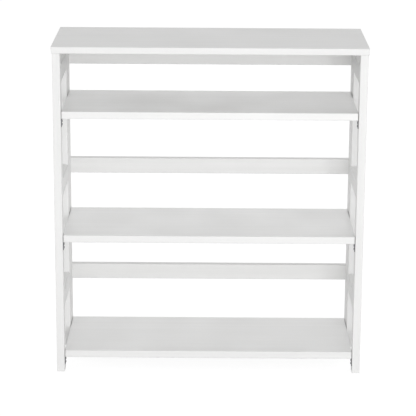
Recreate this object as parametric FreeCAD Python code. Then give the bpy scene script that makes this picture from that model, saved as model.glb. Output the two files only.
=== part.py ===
import FreeCAD
import Part
import os

# Folding bookcase, millimetres, Z up, front towards -Y, origin under the middle of the whole piece.
#
# A ladder-like back frame carries everything. Two open side frames hang on it by butt hinges, three
# shelves turn on steel pins near its rear face, and the top board is hinged along its upper edge.
# Open, the shelf ends lock the side frames apart. To fold it, the top and the upper shelf are stood up
# together, the other shelves after them, and the side frames are closed over the standing shelves.

# Outer size
overall_height = 864.0
top_width = 800.0
top_depth = 305.0
top_thickness = 17.0
top_overhang = 2.5

# Posts, stiles and rails
post_width = 20.0
post_depth = 35.0
stile_depth = 58.0
rail_height = 42.0
side_rail_thickness = 18.0
back_rail_thickness = 18.0
top_back_rail_height = 79.0
rail_pitch = 300.0
edge_round = 1.5
rail_chamfer = 1.0

# Stub tenons on the rail ends
tenon_length = 12.0
tenon_thickness = 8.0
tenon_shoulder = 8.0
mortise_relief = 1.0

# Shelves, given by the height of their upper faces
lower_shelf_height = 57.0
middle_shelf_height = 371.0
upper_shelf_height = 697.0
shelf_thickness = 19.0
shelf_setback = 5.0
shelf_end_gap = 1.5
shelf_tail = 10.0
fold_gap = 1.0

# Shelf pivots: steel pins that are tight in the stiles and turn in the shelf ends
pivot_radius = 3.0
pivot_in_stile = 14.0
pivot_in_shelf = 20.0
pivot_end_relief = 1.0
running_clearance = 0.05

# Butt hinges
barrel_radius = 3.0
barrel_gap = 0.2
hinge_pin_radius = 1.5
leaf_width = 14.0
leaf_thickness = 1.2
leaf_gap = 1.0
knuckle_gap = 0.2
side_hinge_length = 30.0
side_hinge_drop = 3.0
top_hinge_length = 50.0
top_hinge_spacing = 560.0

# Shelf rests: bent steel angles on the front posts
rest_height = 22.0
rest_width = 16.0
rest_reach = 5.6
rest_thickness = 1.6
rest_bend = 2.4

# Heights and planes that the pieces share
frame_height = overall_height - top_thickness
barrel_reach = 2 * barrel_radius + barrel_gap
front_y = -(top_depth + barrel_reach) / 2
rear_y = front_y + top_depth
post_front_y = front_y + top_overhang
stile_front_y = rear_y - stile_depth
hinge_gap = leaf_gap + 2 * leaf_thickness
side_rear_y = stile_front_y - hinge_gap
outer_x = top_width / 2 - top_overhang
inner_x = outer_x - post_width
rail_face_y = rear_y - back_rail_thickness
pivot_y = rail_face_y - fold_gap - shelf_thickness / 2
shelf_half = inner_x - shelf_end_gap

# Lower edges of the rails, stepped down from the deep rail that carries the top board
highest_rail = frame_height - top_back_rail_height
rail_levels = {
    "lower": highest_rail - 2 * rail_pitch,
    "middle": highest_rail - rail_pitch,
    "top": highest_rail,
}

# Upper faces of the shelves
shelf_levels = {
    "lower": lower_shelf_height,
    "middle": middle_shelf_height,
    "upper": upper_shelf_height,
}
hinged_shelves = ("lower", "upper")

X = FreeCAD.Vector(1, 0, 0)
Y = FreeCAD.Vector(0, 1, 0)
Z = FreeCAD.Vector(0, 0, 1)
ORIGIN = FreeCAD.Vector(0, 0, 0)


def point(x, y, z):
    return FreeCAD.Vector(x, y, z)


def block(x, y, z):
    """A box between three pairs of limits."""
    return Part.makeBox(x[1] - x[0], y[1] - y[0], z[1] - z[0], point(x[0], y[0], z[0]))


def rod(radius, length, start, direction):
    return Part.makeCylinder(radius, length, start, direction)


def edges_along(shape, direction):
    found = []
    for edge in shape.Edges:
        run = edge.Vertexes[1].Point - edge.Vertexes[0].Point
        if abs(run.dot(direction)) > 0.999 * run.Length:
            found.append(edge)
    return found


def eased(shape, direction):
    """The same board with its edges along one direction rounded over."""
    return shape.makeFillet(edge_round, edges_along(shape, direction))


def chamfered(shape, direction):
    return shape.makeChamfer(rail_chamfer, edges_along(shape, direction))


def cut_away(shape, tools):
    return shape.cut(Part.makeCompound(tools))


def mirrored(shape):
    """The right-hand twin of a left-hand piece."""
    return shape.mirror(ORIGIN, X)


def both_sides(solids):
    return solids + [mirrored(solid) for solid in solids]


# Rails and their tenons -------------------------------------------------------------------------

def rail_top(level):
    """The side rails all have one height. The top back rail reaches up to carry the top board."""
    return rail_levels[level] + rail_height


def back_rail_top(level):
    return frame_height if level == "top" else rail_top(level)


def side_tenons(level, length):
    """Tenons at both ends of a left side rail, or the mortises for them when made longer."""
    middle_x = -inner_x - side_rail_thickness / 2
    thickness = (middle_x - tenon_thickness / 2, middle_x + tenon_thickness / 2)
    heights = (rail_levels[level] + tenon_shoulder, rail_top(level) - tenon_shoulder)
    front_joint = post_front_y + post_depth
    rear_joint = side_rear_y - post_depth
    front = block(thickness, (front_joint - length, front_joint), heights)
    rear = block(thickness, (rear_joint, rear_joint + length), heights)
    return [front, rear]


def back_tenon(level, length):
    """The left tenon of a back rail, or its mortise when made longer."""
    middle_y = rear_y - back_rail_thickness / 2
    depth = (middle_y - tenon_thickness / 2, middle_y + tenon_thickness / 2)
    heights = (rail_levels[level] + tenon_shoulder, back_rail_top(level) - tenon_shoulder)
    return block((-inner_x - length, -inner_x), depth, heights)


def left_side_rail(level):
    """A rail whose inner face is flush with the posts."""
    span = (post_front_y + post_depth, side_rear_y - post_depth)
    rail = block((-inner_x - side_rail_thickness, -inner_x), span, (rail_levels[level], rail_top(level)))
    return chamfered(rail, Y).fuse(side_tenons(level, tenon_length))


def back_rail(level, cuts):
    rail = block((-inner_x, inner_x), (rail_face_y, rear_y), (rail_levels[level], back_rail_top(level)))
    rail = chamfered(rail, X).fuse(both_sides([back_tenon(level, tenon_length)]))
    return cut_away(rail, cuts) if cuts else rail


# Posts and stiles -------------------------------------------------------------------------------

def side_mortises():
    depth = tenon_length + mortise_relief
    return sum([side_tenons(level, depth) for level in rail_levels], [])


def left_front_post():
    post = block((-outer_x, -inner_x), (post_front_y, post_front_y + post_depth), (0, frame_height))
    return cut_away(eased(post, Z), side_mortises())


def left_back_post():
    post = block((-outer_x, -inner_x), (side_rear_y - post_depth, side_rear_y), (0, frame_height))
    return cut_away(eased(post, Z), side_mortises())


def left_stile(pins):
    """The deep upright of the back frame, bored for the shelf pins."""
    stile = block((-outer_x, -inner_x), (stile_front_y, rear_y), (0, frame_height))
    mortises = [back_tenon(level, tenon_length + mortise_relief) for level in rail_levels]
    return cut_away(eased(stile, Z), mortises + pins)


# Shelves and their pivots -----------------------------------------------------------------------

def pivot_pin(shelf_top):
    start = point(-inner_x - pivot_in_stile, pivot_y, shelf_top - shelf_thickness / 2)
    return rod(pivot_radius, pivot_in_stile + shelf_end_gap + pivot_in_shelf, start, X)


def shelf(shelf_top):
    """A shelf that turns up about its end pins. Standing, its upper face is just off the back rail."""
    depth = (post_front_y + shelf_setback, pivot_y + shelf_tail)
    board = block((-shelf_half, shelf_half), depth, (shelf_top - shelf_thickness, shelf_top))
    start = point(-shelf_half, pivot_y, shelf_top - shelf_thickness / 2)
    bore = rod(pivot_radius + running_clearance, pivot_in_shelf + pivot_end_relief, start, X)
    return cut_away(eased(board, X), both_sides([bore]))


def shelf_rest(shelf_top):
    """A bent steel angle on the inner face of the left front post, its lip under the shelf end."""
    top = shelf_top - shelf_thickness
    middle_y = post_front_y + post_depth / 2
    depth = (middle_y - rest_width / 2, middle_y + rest_width / 2)
    plate = block((-inner_x, -inner_x + rest_thickness), depth, (top - rest_height, top))
    lip = block((-inner_x, -inner_x + rest_reach), depth, (top - rest_thickness, top))
    angle = plate.fuse(lip).removeSplitter()
    corner = point(-inner_x, middle_y, top)
    bend = [edge for edge in edges_along(angle, Y) if edge.CenterOfMass.isEqual(corner, 0.01)]
    return angle.makeFillet(rest_bend, bend)


# Hinges -----------------------------------------------------------------------------------------

class Hinge:
    """A closed butt hinge, its pin along Z and both leaves reaching over the wood along +X.

    The moving leaf lies on the +Y side and has the middle knuckle. The fixed leaf lies on the -Y
    side, and its two outer knuckles grip the pin.
    """

    def __init__(self, length, position, rotation):
        self.length = length
        self.placement = FreeCAD.Placement(position, rotation)
        third = length / 3
        inner = (-third / 2, third / 2)
        outer = [(-length / 2, inner[0] - knuckle_gap), (inner[1] + knuckle_gap, length / 2)]
        moving = self.leaf([inner], hinge_pin_radius + running_clearance)
        fixed = self.leaf(outer, hinge_pin_radius).mirror(ORIGIN, Y)
        pin = rod(hinge_pin_radius, length, point(0, 0, -length / 2), Z)
        self.moving_leaf = self.placed(moving)
        self.fixed_leaf = self.placed(fixed)
        self.pin = self.placed(pin)
        self.moving_bed = self.placed(self.bed())
        self.fixed_bed = self.placed(self.bed().mirror(ORIGIN, Y))

    def placed(self, shape):
        moved = shape.copy()
        moved.Placement = self.placement * shape.Placement
        return moved

    def leaf(self, knuckles, bore_radius):
        """A plate over the wood, with a neck and a rolled knuckle over each given stretch of pin."""
        wood_x = barrel_radius + barrel_gap
        heights = (leaf_gap / 2, leaf_gap / 2 + leaf_thickness)
        pieces = []
        for low, high in knuckles:
            pieces.append(rod(barrel_radius, high - low, point(0, 0, low), Z))
            pieces.append(block((0, wood_x), heights, (low, high)))
        plate = block((wood_x, wood_x + leaf_width), heights, (-self.length / 2, self.length / 2))
        bore = rod(bore_radius, self.length, point(0, 0, -self.length / 2), Z)
        return plate.fuse(pieces).cut(bore).removeSplitter()

    def bed(self):
        """What is cut from the wood to let in the moving leaf."""
        wood_x = barrel_radius + barrel_gap
        heights = (0, leaf_gap / 2 + leaf_thickness)
        return block((wood_x, wood_x + leaf_width), heights, (-self.length / 2, self.length / 2))


def left_side_hinges():
    """Hinges at the inner corner of the stile, each just under a shelf and clear of its swing."""
    axis_x = -inner_x + barrel_radius + barrel_gap
    axis_y = stile_front_y - hinge_gap / 2
    half_turn = FreeCAD.Rotation(Z, 180)
    hinges = []
    for name in hinged_shelves:
        upper_end = shelf_levels[name] - shelf_thickness - side_hinge_drop
        middle = point(axis_x, axis_y, upper_end - side_hinge_length / 2)
        hinges.append(Hinge(side_hinge_length, middle, half_turn))
    return hinges


def top_board_hinges():
    """Hinges along the rear edge, their pins level with the underside of the top board."""
    axis_y = rear_y + barrel_radius + barrel_gap
    lying = FreeCAD.Rotation(-Y, Z, -X, "XYZ")
    places = [point(side * top_hinge_spacing / 2, axis_y, frame_height) for side in (-1, 1)]
    return [Hinge(top_hinge_length, place, lying) for place in places]


def top_board(beds):
    board = block((-top_width / 2, top_width / 2), (front_y, rear_y), (frame_height, overall_height))
    return cut_away(eased(board, X), beds)


# Assembly ---------------------------------------------------------------------------------------

def save(name, solids):
    shape = solids[0] if len(solids) == 1 else Part.makeCompound(solids)
    shape.exportStep(f"parts/{name}.step")


def save_pair(name, solids):
    """The same piece on the left and, mirrored, on the right."""
    save(f"left_{name}", solids)
    save(f"right_{name}", [mirrored(solid) for solid in solids])


def main():
    os.makedirs("parts", exist_ok=True)
    side_hinges = left_side_hinges()
    top_hinges = top_board_hinges()
    pins = [pivot_pin(top) for top in shelf_levels.values()]

    # Back frame
    save_pair("stile", [left_stile(pins)])
    for level in rail_levels:
        beds = [hinge.fixed_bed for hinge in top_hinges] if level == "top" else []
        save(f"{level}_back_rail", [back_rail(level, beds)])
    save("shelf_pivot_pins", both_sides(pins))
    save_pair("hinge_fixed_leaves", [hinge.fixed_leaf for hinge in side_hinges])
    save_pair("hinge_pins", [hinge.pin for hinge in side_hinges])
    save("top_hinge_lower_leaves", [hinge.fixed_leaf for hinge in top_hinges])
    save("top_hinge_pins", [hinge.pin for hinge in top_hinges])

    # Side frames
    save_pair("front_post", [left_front_post()])
    save_pair("back_post", [left_back_post()])
    for level in rail_levels:
        save_pair(f"{level}_side_rail", [left_side_rail(level)])
    save_pair("shelf_rests", [shelf_rest(top) for top in shelf_levels.values()])
    save_pair("hinge_moving_leaves", [hinge.moving_leaf for hinge in side_hinges])

    # Top board
    save("top_board", [top_board([hinge.moving_bed for hinge in top_hinges])])
    save("top_hinge_upper_leaves", [hinge.moving_leaf for hinge in top_hinges])

    # Shelves
    for name, shelf_top in shelf_levels.items():
        save(f"{name}_shelf", [shelf(shelf_top)])


main()
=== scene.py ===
# %% [markdown]
# # A white folding bookcase
#
# The bookcase is a ladder-like back frame that carries two open side frames, three shelves and a
# top board. Everything wooden is painted white, so its looks depend on soft light, on slightly
# uneven paint and on clean thin edges. The steel parts are small: bent angles under the shelves,
# the hinges and their screws.
#
# The solids of the frame are loaded first. They already have the right shapes, so they only need
# a finish. What is too small for the solids, such as a screw head, is built here as a mesh.

import math

import bmesh
import bpy
from mathutils import Euler, Matrix, Vector


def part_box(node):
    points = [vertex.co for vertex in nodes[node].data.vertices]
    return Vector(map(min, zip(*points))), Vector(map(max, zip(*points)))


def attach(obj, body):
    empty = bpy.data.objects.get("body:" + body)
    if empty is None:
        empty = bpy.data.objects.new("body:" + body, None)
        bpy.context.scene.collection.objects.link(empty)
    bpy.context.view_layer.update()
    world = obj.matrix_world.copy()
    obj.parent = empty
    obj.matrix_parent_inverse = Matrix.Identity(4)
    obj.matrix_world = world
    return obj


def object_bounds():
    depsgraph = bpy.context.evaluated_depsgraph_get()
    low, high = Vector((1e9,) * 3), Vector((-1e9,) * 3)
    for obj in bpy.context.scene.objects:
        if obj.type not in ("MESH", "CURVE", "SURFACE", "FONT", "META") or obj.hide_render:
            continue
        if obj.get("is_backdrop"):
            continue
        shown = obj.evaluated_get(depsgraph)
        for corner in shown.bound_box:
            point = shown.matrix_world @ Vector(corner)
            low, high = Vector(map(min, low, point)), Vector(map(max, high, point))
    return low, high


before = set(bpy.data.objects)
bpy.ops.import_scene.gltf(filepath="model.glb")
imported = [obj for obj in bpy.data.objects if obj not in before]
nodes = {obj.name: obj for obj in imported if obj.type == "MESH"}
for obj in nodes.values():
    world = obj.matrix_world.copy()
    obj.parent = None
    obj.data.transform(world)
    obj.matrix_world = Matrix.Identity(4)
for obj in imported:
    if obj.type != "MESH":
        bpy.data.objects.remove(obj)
solid_low, solid_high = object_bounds()
print("solids:", len(nodes), "size:", [round(side, 4) for side in solid_high - solid_low])

# %% [markdown]
# ## A small kit for building materials
#
# A material in Blender is a graph of nodes. Making a node, setting its sockets and joining it to
# the next one are steps that come back all the time, so a short function does them in one call. A
# socket that is given another node's output is linked, and one that is given a number is set.
#
# A finish is a material with a few habits of its own: noise that is stretched to the piece, a way
# to bring that noise into a range, and a blend of two colours. A class keeps them together.

# %% The node kit
def give(tree, node, socket, value):
    if isinstance(value, bpy.types.NodeSocket):
        tree.links.new(value, node.inputs[socket])
    else:
        node.inputs[socket].default_value = value


def add_node(tree, kind, inputs=None, **settings):
    node = tree.nodes.new("ShaderNode" + kind)
    for setting, value in settings.items():
        setattr(node, setting, value)
    for socket, value in (inputs or {}).items():
        give(tree, node, socket, value)
    return node


class Finish:
    """One material, with a Principled surface at its end."""

    def __init__(self, name):
        self.material = bpy.data.materials.new(name)
        self.material.use_nodes = True
        self.tree = self.material.node_tree
        self.surface = self.tree.nodes["Principled BSDF"]

    def add(self, kind, inputs=None, **settings):
        return add_node(self.tree, kind, inputs, **settings)

    def set(self, socket, value):
        give(self.tree, self.surface, socket, value)

    def noise(self, cells, detail, roughness=0.5, shift=(0, 0, 0)):
        """Noise with so many cells in a metre along X, Y and Z of the piece."""
        place = self.add("TexCoord").outputs["Object"]
        mapping = self.add("Mapping", {"Vector": place, "Scale": cells, "Location": shift})
        inputs = {
            "Vector": mapping.outputs["Vector"],
            "Scale": 1.0,
            "Detail": detail,
            "Roughness": roughness,
        }
        return self.add("TexNoise", inputs).outputs["Fac"]

    def spread(self, value, low, high, start=0.3, end=0.7):
        """Noise stays near its middle, so its useful part is stretched to run from low to high."""
        inputs = {"Value": value, "From Min": start, "From Max": end, "To Min": low, "To Max": high}
        return self.add("MapRange", inputs).outputs["Result"]

    def blend(self, share, first, second):
        """A colour between two colours."""
        node = self.add("Mix", {0: share, 6: first, 7: second}, data_type="RGBA")
        return node.outputs[2]


# %% [markdown]
# ## White paint over wood
#
# The wood is planed pine, sprayed white. Paint still follows the wood a little: there are faint
# lines along the grain, a fine even texture of its own, and patches that are slightly more or
# less glossy. On the edges the paint draws back and gets thin, and the edges also get a painted
# shade, like the shade of rounded edges turned away from the light, so they are a touch darker
# than the faces. None of it may be strong, or the piece looks weathered.
#
# The frames and the top board have matt paint. Books slide over the shelves, so those get a satin
# lacquer, which wears better. Satin mirrors a little of the bright room when it is seen at a low
# angle, and so the shelves look nearly as light as the top, although they lie in its shade.
#
# The lines are noise that is squeezed across the grain and stretched along it. Each piece was cut
# with the grain along its length, so there is one paint for each direction. The Bevel node gives
# the normal that the corner would have if it were rounded. Used as the normal it makes the
# corners catch light, and where it differs from the flat normal there is an edge. There the paint
# thins, and a painted shade darkens it as well.

# %% What the paint is like
PAINT_FACE = (0.865, 0.865, 0.861, 1.0)
PAINT_LINE = (0.795, 0.794, 0.786, 1.0)
# The edge colour is a painted shade on the rounded edges, and it also stands for the thinner paint
# there.
EDGE_SHADE_AND_THIN_PAINT = (0.710, 0.706, 0.696, 1.0)

# The most of the second colour that lines, patches and edges may show.
LINE_SHARE = 0.55
PATCH_SHARE = 0.22
EDGE_SHADE_SHARE = 0.55

# Cells of noise in a metre: along the grain and across it, or the same in every direction.
LINE_CELLS = (1.4, 60.0)
PORE_CELLS = (26.0, 900.0)
SKIN_CELLS = (1400.0, 1400.0, 1400.0)
PATCH_CELLS = (9.0, 9.0, 9.0)
PATCH_SHIFT = (3.1, 1.7, 0.4)

# Depth in metres, and strength, of the relief that each kind of noise gives.
LINE_RELIEF = (0.00022, 0.32)
PORE_RELIEF = (0.00007, 0.30)
SKIN_RELIEF = (0.00003, 0.25)

# How round a corner looks, and how far its normal still agrees with the face where the painted
# edge shade and the thin paint are strongest and where they are gone again.
CORNER_RADIUS = 0.0016
EDGE_SHADE_DARKEST = 0.80
EDGE_SHADE_GONE = 0.995

ALONG_GRAIN = {"X": (1, 0, 0), "Y": (0, 1, 0), "Z": (0, 0, 1)}
print("face:", PAINT_FACE[:3], "lines:", PAINT_LINE[:3], "edges:", EDGE_SHADE_AND_THIN_PAINT[:3])

# %% Mix the paint
def cells_along(grain, along, across):
    return [along if axis else across for axis in ALONG_GRAIN[grain]]


def white_paint(name, grain, smooth, rough, gloss):
    paint = Finish(name)
    lines = paint.noise(cells_along(grain, *LINE_CELLS), detail=6.0, roughness=0.68)
    pores = paint.noise(cells_along(grain, *PORE_CELLS), detail=3.0, roughness=0.7)
    skin = paint.noise(SKIN_CELLS, detail=2.0)
    patches = paint.noise(PATCH_CELLS, detail=3.0, shift=PATCH_SHIFT)

    rounded = paint.add("Bevel", {"Radius": CORNER_RADIUS}, samples=6).outputs["Normal"]
    flat = paint.add("NewGeometry").outputs["Normal"]
    inputs = {0: rounded, 1: flat}
    facing = paint.add("VectorMath", inputs, operation="DOT_PRODUCT").outputs["Value"]
    # The edge mask paints shade on the edges, like the shade of rounded edges turned from the
    # light, together with the darker thin paint there.
    edge = paint.spread(facing, EDGE_SHADE_SHARE, 0.0, start=EDGE_SHADE_DARKEST, end=EDGE_SHADE_GONE)

    colour = paint.blend(paint.spread(lines, 0.0, LINE_SHARE), PAINT_FACE, PAINT_LINE)
    colour = paint.blend(paint.spread(patches, 0.0, PATCH_SHARE), colour, PAINT_LINE)
    colour = paint.blend(edge, colour, EDGE_SHADE_AND_THIN_PAINT)
    paint.set("Base Color", colour)
    paint.set("Roughness", paint.spread(patches, smooth, rough))
    paint.set("Specular IOR Level", gloss)

    relief = rounded
    for height, shape in ((lines, LINE_RELIEF), (pores, PORE_RELIEF), (skin, SKIN_RELIEF)):
        inputs = {"Height": height, "Distance": shape[0], "Strength": shape[1], "Normal": relief}
        relief = paint.add("Bump", inputs).outputs["Normal"]
    paint.set("Normal", relief)
    return paint.material


matt = {}
for grain in ALONG_GRAIN:
    name = "matt_paint_along_" + grain
    matt[grain] = white_paint(name, grain, smooth=0.50, rough=0.62, gloss=0.12)
satin = white_paint("satin_lacquer", "X", smooth=0.34, rough=0.44, gloss=0.50)
print("paints:", [paint.name for paint in (*matt.values(), satin)])

# %% [markdown]
# ## Steel
#
# Cheap hinges are rolled from zinc-plated sheet. Zinc is a bright, slightly blue metal with a
# cloudy surface and fine scratches along the direction of rolling. The angles under the shelves
# have been plated dark, so they look like gunmetal with the lighter metal showing on rubbed
# spots.
#
# The barrel of a hinge is rolled round, but its solid is made of narrow flat faces. The Bevel
# node rounds their normals over almost two millimetres, and that is enough to hide the facets.

# %% Zinc and gunmetal
CLOUD_CELLS = (160.0, 160.0, 160.0)
SCRATCH_CELLS = (90.0, 2600.0, 2600.0)
SCRATCH_DEPTH = 0.00004
SCRATCH_STRENGTH = 0.35
BARREL_ROUNDING = 0.0018


def plated_steel(name, bright, dull, smooth, rough):
    steel = Finish(name)
    clouds = steel.noise(CLOUD_CELLS, detail=4.0, roughness=0.6)
    scratches = steel.noise(SCRATCH_CELLS, detail=2.0)
    steel.set("Base Color", steel.blend(steel.spread(clouds, 0.0, 1.0), dull, bright))
    steel.set("Metallic", 1.0)
    steel.set("Roughness", steel.spread(clouds, rough, smooth))
    rounded = steel.add("Bevel", {"Radius": BARREL_ROUNDING}, samples=8).outputs["Normal"]
    inputs = {
        "Height": scratches,
        "Distance": SCRATCH_DEPTH,
        "Strength": SCRATCH_STRENGTH,
        "Normal": rounded,
    }
    steel.set("Normal", steel.add("Bump", inputs).outputs["Normal"])
    return steel.material


ZINC_BRIGHT = (0.66, 0.67, 0.69, 1.0)
ZINC_DULL = (0.50, 0.51, 0.53, 1.0)
GUNMETAL_BRIGHT = (0.30, 0.30, 0.31, 1.0)
GUNMETAL_DULL = (0.17, 0.17, 0.18, 1.0)

zinc = plated_steel("zinc_plating", ZINC_BRIGHT, ZINC_DULL, smooth=0.28, rough=0.42)
gunmetal = plated_steel("gunmetal_plating", GUNMETAL_BRIGHT, GUNMETAL_DULL, smooth=0.32, rough=0.48)
print("steel:", zinc.name, gunmetal.name)

# %% [markdown]
# ## Give every solid its finish
#
# A node's name says what it is, and so which finish it gets and which way its grain runs: posts
# and stiles stand, side rails run from front to back, and all boards and back rails run from side
# to side. Steel nodes take the plating. Only the material slot changes, so the frame's meshes
# stay as they are.

# %% Dress the solids
def grain_of(name):
    if name.endswith(("post", "stile")):
        return "Z"
    return "Y" if name.endswith("side_rail") else "X"


def dress(name):
    if name.endswith("shelf_rests"):
        return gunmetal
    if "hinge" in name or name.endswith("pins"):
        return zinc
    if name.endswith("shelf"):
        return satin
    return matt[grain_of(name)]


for name, solid in nodes.items():
    solid.data.materials.clear()
    solid.data.materials.append(dress(name))
    print(f"{name:28} {dress(name).name}")

# %% [markdown]
# ## Screws
#
# Screw heads are too fine for the frame's solids, but a metal plate without screws looks
# unfinished. Two kinds are needed. The angles are held by pan-head screws, whose head is a low
# dome that stands on the plate. The hinge leaves have countersunk screws, whose head is a nearly
# flat disc.
#
# Both are solids of revolution. They could start from a cylinder whose rim is bevelled, but a
# half profile that is spun round an axis gives the exact dome in one step, and other buttons can
# use it. Every point of the profile becomes a ring of corners, and faces join each ring to the
# next. A point on the axis is a ring of one corner, so the faces there are triangles.

# %% Turn a profile
DOME_STEPS = 5
SAME_PLACE = 1e-6


def mesh_of(name, form):
    mesh = bpy.data.meshes.new(name)
    form.normal_update()
    form.to_mesh(mesh)
    form.free()
    return mesh


def domed(radius, height, crown):
    """The half profile, as (radius, height) points, of a disc whose top rises by crown."""
    rim = height - crown
    profile = [(0.0, 0.0), (radius, 0.0), (radius, rim)]
    for step in range(1, DOME_STEPS + 1):
        angle = step / DOME_STEPS * math.pi / 2
        profile.append((radius * math.cos(angle), rim + crown * math.sin(angle)))
    return profile


def ring(form, radius, height, steps):
    """Corners in a circle round Z, or the same corner each time where the circle is a point."""
    if radius < SAME_PLACE:
        return [form.verts.new((0.0, 0.0, height))] * steps
    corners = []
    for step in range(steps):
        angle = math.tau * step / steps
        place = (radius * math.cos(angle), radius * math.sin(angle), height)
        corners.append(form.verts.new(place))
    return corners


def turned(profile, steps=28):
    """A closed mesh: a half profile that begins and ends on the axis, spun round Z."""
    form = bmesh.new()
    rings = [ring(form, radius, height, steps) for radius, height in profile]
    for lower, upper in zip(rings, rings[1:]):
        for step in range(steps):
            ahead = (step + 1) % steps
            corners = [lower[step], lower[ahead], upper[ahead], upper[step]]
            face = form.faces.new(list(dict.fromkeys(corners)))
            face.smooth = True
    return form


print("profile of a disc with a dome:", len(domed(1.0, 1.0, 0.5)), "points")

# %% [markdown]
# ### The cross in the head
#
# The recess takes the tip of a screwdriver. It is cut out of the head with a Boolean modifier,
# which is quicker and cleaner than pushing single faces in. The cutter is two crossed wedges that
# get narrower towards the bottom, as the tip is. It starts a little above the head, because a cut
# that begins exactly on a face is seldom clean.

# %% Cut the cross
CUTTER_SPARE = 0.0004
WEDGE_TAPER = 0.45

# Shares of the head's radius and, for the depth, of its height.
RECESS_REACH = 0.62
RECESS_WIDTH = 0.24
RECESS_DEPTH = 0.8


def cross_cutter(reach, width, top, depth):
    form = bmesh.new()
    for turn in (0.0, math.pi / 2):
        corners = bmesh.ops.create_cube(form, size=1.0)["verts"]
        for corner in corners:
            upper = corner.co.z > 0
            narrow = 1.0 if upper else WEDGE_TAPER
            corner.co.x *= 2 * reach * narrow
            corner.co.y *= width * narrow
            corner.co.z = top if upper else top - depth
        turning = Matrix.Rotation(turn, 3, "Z")
        bmesh.ops.rotate(form, verts=corners, cent=(0, 0, 0), matrix=turning)
    return form


def cut(body, cutter):
    """The mesh that is left of body when cutter is taken out of it."""
    parts = [bpy.data.objects.new("cut_part", mesh) for mesh in (body, cutter)]
    for part in parts:
        bpy.context.scene.collection.objects.link(part)
    knife = parts[0].modifiers.new("cross", "BOOLEAN")
    knife.operation = "DIFFERENCE"
    knife.solver = "EXACT"
    knife.use_self = True
    knife.object = parts[1]
    bpy.context.view_layer.update()
    evaluated = parts[0].evaluated_get(bpy.context.evaluated_depsgraph_get())
    finished = bpy.data.meshes.new_from_object(evaluated)
    for part in parts:
        bpy.data.objects.remove(part)
    return finished


def screw_head(name, radius, height, crown):
    """A head whose rim is at height - crown and whose middle is at height."""
    head = mesh_of(name, turned(domed(radius, height, crown)))
    reach, width = radius * RECESS_REACH, radius * RECESS_WIDTH
    depth = CUTTER_SPARE + height * RECESS_DEPTH
    cutter = cross_cutter(reach, width, height + CUTTER_SPARE, depth)
    return cut(head, mesh_of(name + "_recess", cutter))


pan_head = screw_head("pan_head", radius=0.0031, height=0.0019, crown=0.0015)
flat_head = screw_head("flat_head", radius=0.0024, height=0.00020, crown=0.00012)
print("screw heads:", len(pan_head.polygons), "and", len(flat_head.polygons), "faces")

# %% [markdown]
# ## Put the screws in their places
#
# A screw is placed by the plate that it holds. The plate's box comes from the frame, so the
# screws move with it when the solids change. All heads that ride on one body and share one mesh
# are joined into one piece, each turned by its own angle, because nobody lines up the crosses.
#
# A node may hold several separate plates. They are told apart by walking along the edges of its
# mesh from one corner to the next: what can't be reached belongs to another plate.

# %% Join copies of a mesh
TURN_TO_NEXT = 2.4


def set_of(name, mesh, places, body, plating):
    """Copies of a mesh at (position, direction of its Z axis), as one piece riding on a body."""
    form = bmesh.new()
    for number, (position, direction) in enumerate(places):
        before = len(form.verts)
        form.from_mesh(mesh)
        form.verts.ensure_lookup_table()
        added = form.verts[before:]
        turn = Matrix.Rotation(number * TURN_TO_NEXT, 4, "Z")
        lean = Vector(direction).to_track_quat("Z", "Y").to_matrix().to_4x4()
        bmesh.ops.transform(form, matrix=Matrix.Translation(position) @ lean @ turn, verts=added)
    piece = bpy.data.objects.new(name, mesh_of(name, form))
    piece.data.materials.append(plating)
    bpy.context.scene.collection.objects.link(piece)
    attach(piece, body)
    print(f"{name:28} {len(places)} on {body}")
    return piece


def lumps(node):
    """The boxes of the separate solids in a node, lowest first."""
    form = bmesh.new()
    form.from_mesh(nodes[node].data)
    bmesh.ops.remove_doubles(form, verts=form.verts, dist=SAME_PLACE)
    waiting = set(form.verts)
    boxes = []
    while waiting:
        group = [waiting.pop()]
        for vert in group:
            near = {edge.other_vert(vert) for edge in vert.link_edges} & waiting
            waiting -= near
            group.extend(near)
        sides = list(zip(*(vert.co for vert in group)))
        boxes.append((Vector([min(side) for side in sides]), Vector([max(side) for side in sides])))
    form.free()
    return sorted(boxes, key=lambda ends: (round(ends[0].z, 4), ends[0].x))


print("rests on the left side:", len(lumps("left_shelf_rests")))

# %% [markdown]
# ### In the shelf rests
#
# Each rest is a bent steel angle. Its upright plate lies against the post, and two pan-head
# screws go through it, one above the other.

# %% Screws of the shelf rests
REST_PLATE = 0.0016
REST_SCREW_LEVELS = (0.0075, 0.0160)

for side, inwards in (("left", 1), ("right", -1)):
    places = []
    for low, high in lumps(side + "_shelf_rests"):
        wall = low.x if inwards > 0 else high.x
        for down in REST_SCREW_LEVELS:
            middle = Vector((wall + inwards * REST_PLATE, (low.y + high.y) / 2, high.z - down))
            places.append((middle, (inwards, 0, 0)))
    set_of(side + "_rest_screws", pan_head, places, side + "_side_frame", gunmetal)

# %% [markdown]
# ### In the hinges
#
# Each leaf of a butt hinge has a row of three countersunk screws. They face the other leaf, so
# they only show when the hinge is open. Two closed leaves lie a millimetre apart, and the heads
# have to stay flat enough to fit between them. The leaves of the side hinges stand, and those of
# the top hinges lie, so one function is told which axis the row follows.

# %% Screws of the hinges
SCREWS_PER_LEAF = 3
LEAF_WIDTH = 0.014
LEAF_GAP = 0.0010


def leaf_screws(leaves, along, row, facing):
    """Three screws on each leaf: along is the axis of their row, and row gives the other two."""
    places = []
    for low, high in lumps(leaves):
        for number in range(SCREWS_PER_LEAF):
            share = (number + 0.5) / SCREWS_PER_LEAF
            place = row.copy()
            place[along] = low[along] + share * (high[along] - low[along])
            places.append((place, facing))
    return places


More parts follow.
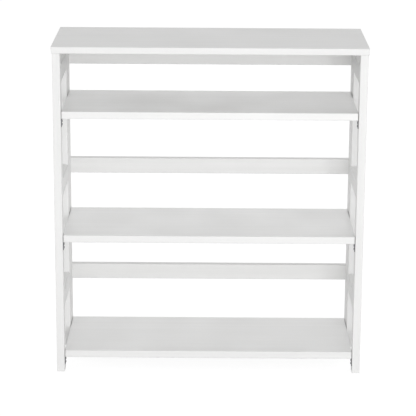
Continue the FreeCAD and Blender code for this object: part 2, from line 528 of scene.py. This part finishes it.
for side in ("left", "right"):
    for kind, face, body in (("moving", -1, side + "_side_frame"), ("fixed", 1, "back_frame")):
        leaves = f"{side}_hinge_{kind}_leaves"
        low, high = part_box(leaves)
        across = low.x + LEAF_WIDTH / 2 if side == "left" else high.x - LEAF_WIDTH / 2
        row = Vector((across, (low.y + high.y) / 2 + face * LEAF_GAP / 2, 0.0))
        places = leaf_screws(leaves, 2, row, (0, -face, 0))
        set_of(f"{side}_hinge_screws_{kind}", flat_head, places, body, zinc)

for kind, face, body in (("lower", -1, "back_frame"), ("upper", 1, "top")):
    leaves = f"top_hinge_{kind}_leaves"
    low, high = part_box(leaves)
    row = Vector((0.0, low.y + LEAF_WIDTH / 2, (low.z + high.z) / 2 + face * LEAF_GAP / 2))
    places = leaf_screws(leaves, 0, row, (0, 0, -face))
    set_of(f"top_hinge_screws_{kind}", flat_head, places, body, zinc)

# %% [markdown]
# ## Tips of the hinge pins
#
# A hinge pin can't fall out because it ends in a button on both sides. The button is a low dome
# that is a little wider than the pin and narrower than the barrel. It stands a hair clear of the
# barrel, so that the knuckles turn past it without rubbing. Its shape is that of the screw heads
# without the cross, so the same profile is spun.

# %% Turn the tips and put them on the pins
TIP_RADIUS = 0.0023
TIP_HEIGHT = 0.0009
TIP_CROWN = 0.65 * TIP_HEIGHT
TIP_CLEARANCE = 0.00005

pin_tip = mesh_of("pin_tip", turned(domed(TIP_RADIUS, TIP_HEIGHT, TIP_CROWN)))

for pins, along in (("left_hinge_pins", 2), ("right_hinge_pins", 2), ("top_hinge_pins", 0)):
    places = []
    for low, high in lumps(pins):
        for end, sign in ((low, -1), (high, 1)):
            place = (low + high) / 2
            place[along] = end[along] + sign * TIP_CLEARANCE
            facing = Vector((0, 0, 0))
            facing[along] = sign
            places.append((place, facing))
    set_of(pins.replace("pins", "pin_tips"), pin_tip, places, "back_frame", zinc)

# %% [markdown]
# ## The studio
#
# White furniture on white is shown by small differences of grey. The world gives a fill that is
# strongest along the horizon and weaker overhead, as between the white walls of a studio with a
# grey ceiling. Such a fill gets in under the top board, so the upper shelf is only a little
# darker than the others. One even grey would be simpler, but that shelf would sink into shade.
#
# The camera sees the world as plain white, and so do reflections. The Light Path node tells which
# kind of ray asks, and the fill only answers the others.

# %% The world
FILL_AT_HORIZON = 1.14
FILL_OVERHEAD = 0.48
WHITE_IN_VIEW = 1.0


def seen(tree):
    """1 for the rays whose result is looked at: those of the camera, reflections and glass."""
    path = add_node(tree, "LightPath")
    value = path.outputs["Is Camera Ray"]
    for ray in ("Is Glossy Ray", "Is Transmission Ray"):
        either = add_node(tree, "Math", {0: value, 1: path.outputs[ray]}, operation="MAXIMUM")
        value = either.outputs[0]
    return value


world = bpy.data.worlds.new("studio")
bpy.context.scene.world = world
world.use_nodes = True
tree = world.node_tree

direction = add_node(tree, "TexCoord").outputs["Generated"]
height = add_node(tree, "SeparateXYZ", {0: direction}).outputs["Z"]
inputs = {"Value": height, "To Min": FILL_AT_HORIZON, "To Max": FILL_OVERHEAD}
fill = add_node(tree, "MapRange", inputs).outputs["Result"]
inputs = {"Value": seen(tree), "To Min": fill, "To Max": WHITE_IN_VIEW}
strength = add_node(tree, "MapRange", inputs).outputs["Result"]
give(tree, tree.nodes["Background"], "Color", (1.0, 1.0, 1.0, 1.0))
give(tree, tree.nodes["Background"], "Strength", strength)
print("fill:", FILL_AT_HORIZON, "at the horizon,", FILL_OVERHEAD, "overhead")

# %% [markdown]
# ### The floor
#
# The floor has to look white and still keep the soft shadow under the bookcase. It is a pale grey
# that is lit like everything else, plus a glow that only the camera and reflections see. Without
# the grey part there would be no shadow, and without the glow the floor would end in a grey line.

# %% Lay the floor
FLOOR_REACH = 30.0
FLOOR_CELLS = (3.0, 3.0, 3.0)
FLOOR_LIGHT = (0.80, 0.80, 0.80, 1.0)
FLOOR_DARK = (0.78, 0.78, 0.78, 1.0)
GLOW_STRENGTH = 1.2
GLOW_SHARE = 0.75

form = bmesh.new()
bmesh.ops.create_grid(form, x_segments=1, y_segments=1, size=FLOOR_REACH)
floor = bpy.data.objects.new("studio_floor", mesh_of("studio_floor", form))
bpy.context.scene.collection.objects.link(floor)

pale = Finish("pale_floor")
grit = pale.spread(pale.noise(FLOOR_CELLS, detail=3.0), 0.0, 1.0)
pale.set("Base Color", pale.blend(grit, FLOOR_LIGHT, FLOOR_DARK))
pale.set("Roughness", 0.9)
pale.set("Specular IOR Level", 0.0)
glow = pale.add("Emission", {"Color": (1.0, 1.0, 1.0, 1.0), "Strength": GLOW_STRENGTH})
inputs = {"Value": seen(pale.tree), "To Min": 0.0, "To Max": GLOW_SHARE}
glow_share = pale.add("MapRange", inputs).outputs["Result"]
inputs = {"Fac": glow_share, 1: pale.surface.outputs[0], 2: glow.outputs[0]}
mixed = pale.add("MixShader", inputs).outputs[0]
give(pale.tree, pale.tree.nodes["Material Output"], "Surface", mixed)
floor.data.materials.append(pale.material)
floor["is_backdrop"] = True
print("floor:", 2 * FLOOR_REACH, "m wide")

# %% [markdown]
# ### The lamps
#
# A large soft lamp in front, low and a little to the right, makes the faces that look forward the
# brightest. A weak one behind sends some light through the open back over the shelves. Both are
# area lamps, because a large lamp gives the soft edges that a small bright one can't.

# %% Hang the lamps
MIDDLE = Vector((0.0, 0.0, 0.43))
LAMP_DISTANCE = 3.8
LAMP_SIZE = 1.6


def soft_lamp(name, turn, up, power):
    """A lamp that faces the middle, turned from the front to the right and raised, in degrees."""
    side, height = math.radians(turn), math.radians(up)
    level = math.cos(height)
    outwards = Vector((math.sin(side) * level, -math.cos(side) * level, math.sin(height)))
    lamp = bpy.data.lights.new(name, "AREA")
    lamp.shape = "SQUARE"
    lamp.size = LAMP_SIZE
    lamp.energy = power
    holder = bpy.data.objects.new(name, lamp)
    bpy.context.scene.collection.objects.link(holder)
    holder.location = MIDDLE + LAMP_DISTANCE * outwards
    holder.rotation_euler = outwards.to_track_quat("Z", "Y").to_euler()
    print(f"{name}: {power} W at {[round(value, 2) for value in holder.location]}")


soft_lamp("front_softbox", turn=8, up=6, power=42.0)
soft_lamp("back_softbox", turn=180, up=10, power=4.0)

# %% [markdown]
# ## The camera
#
# The bookcase is looked at from straight in front and a little above, from about four and a half
# metres away. From that far it takes a long lens to fill the view, and the sides stay nearly
# parallel.
#
# An aim is easiest to read as three turns: down from level, a hair to the side, and a slight
# roll. The roll comes last and about the camera's own axis, so it is multiplied in from the
# right.

# %% Set the camera
CAMERA_PLACE = Vector((0.0017, -4.5863, 1.6587))
PITCH_DOWN = 15.273
TURN = 0.064
ROLL = 0.344
LENS_LENGTH = 155.06
SENSOR_WIDTH = 36.0

lens = bpy.data.cameras.new("camera")
lens.lens = LENS_LENGTH
lens.sensor_width = SENSOR_WIDTH
camera = bpy.data.objects.new("camera", lens)
bpy.context.scene.collection.objects.link(camera)
aim = Euler((math.radians(90 - PITCH_DOWN), 0.0, math.radians(TURN))).to_matrix()
aim = aim @ Matrix.Rotation(math.radians(ROLL), 3, "Z")
camera.matrix_world = Matrix.Translation(CAMERA_PLACE) @ aim.to_4x4()
bpy.context.scene.camera = camera
bpy.context.scene.view_settings.view_transform = "Standard"
print("camera:", round((CAMERA_PLACE - MIDDLE).length, 2), "m from the middle")

# %% [markdown]
# ## Check the size
#
# The pieces made here must not make the bookcase bigger than its solids.

# %% Compare the boxes
dressed_low, dressed_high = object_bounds()
growth = (solid_low - dressed_low) + (dressed_high - solid_high)
print("grown by (m):", [round(side, 5) for side in growth])
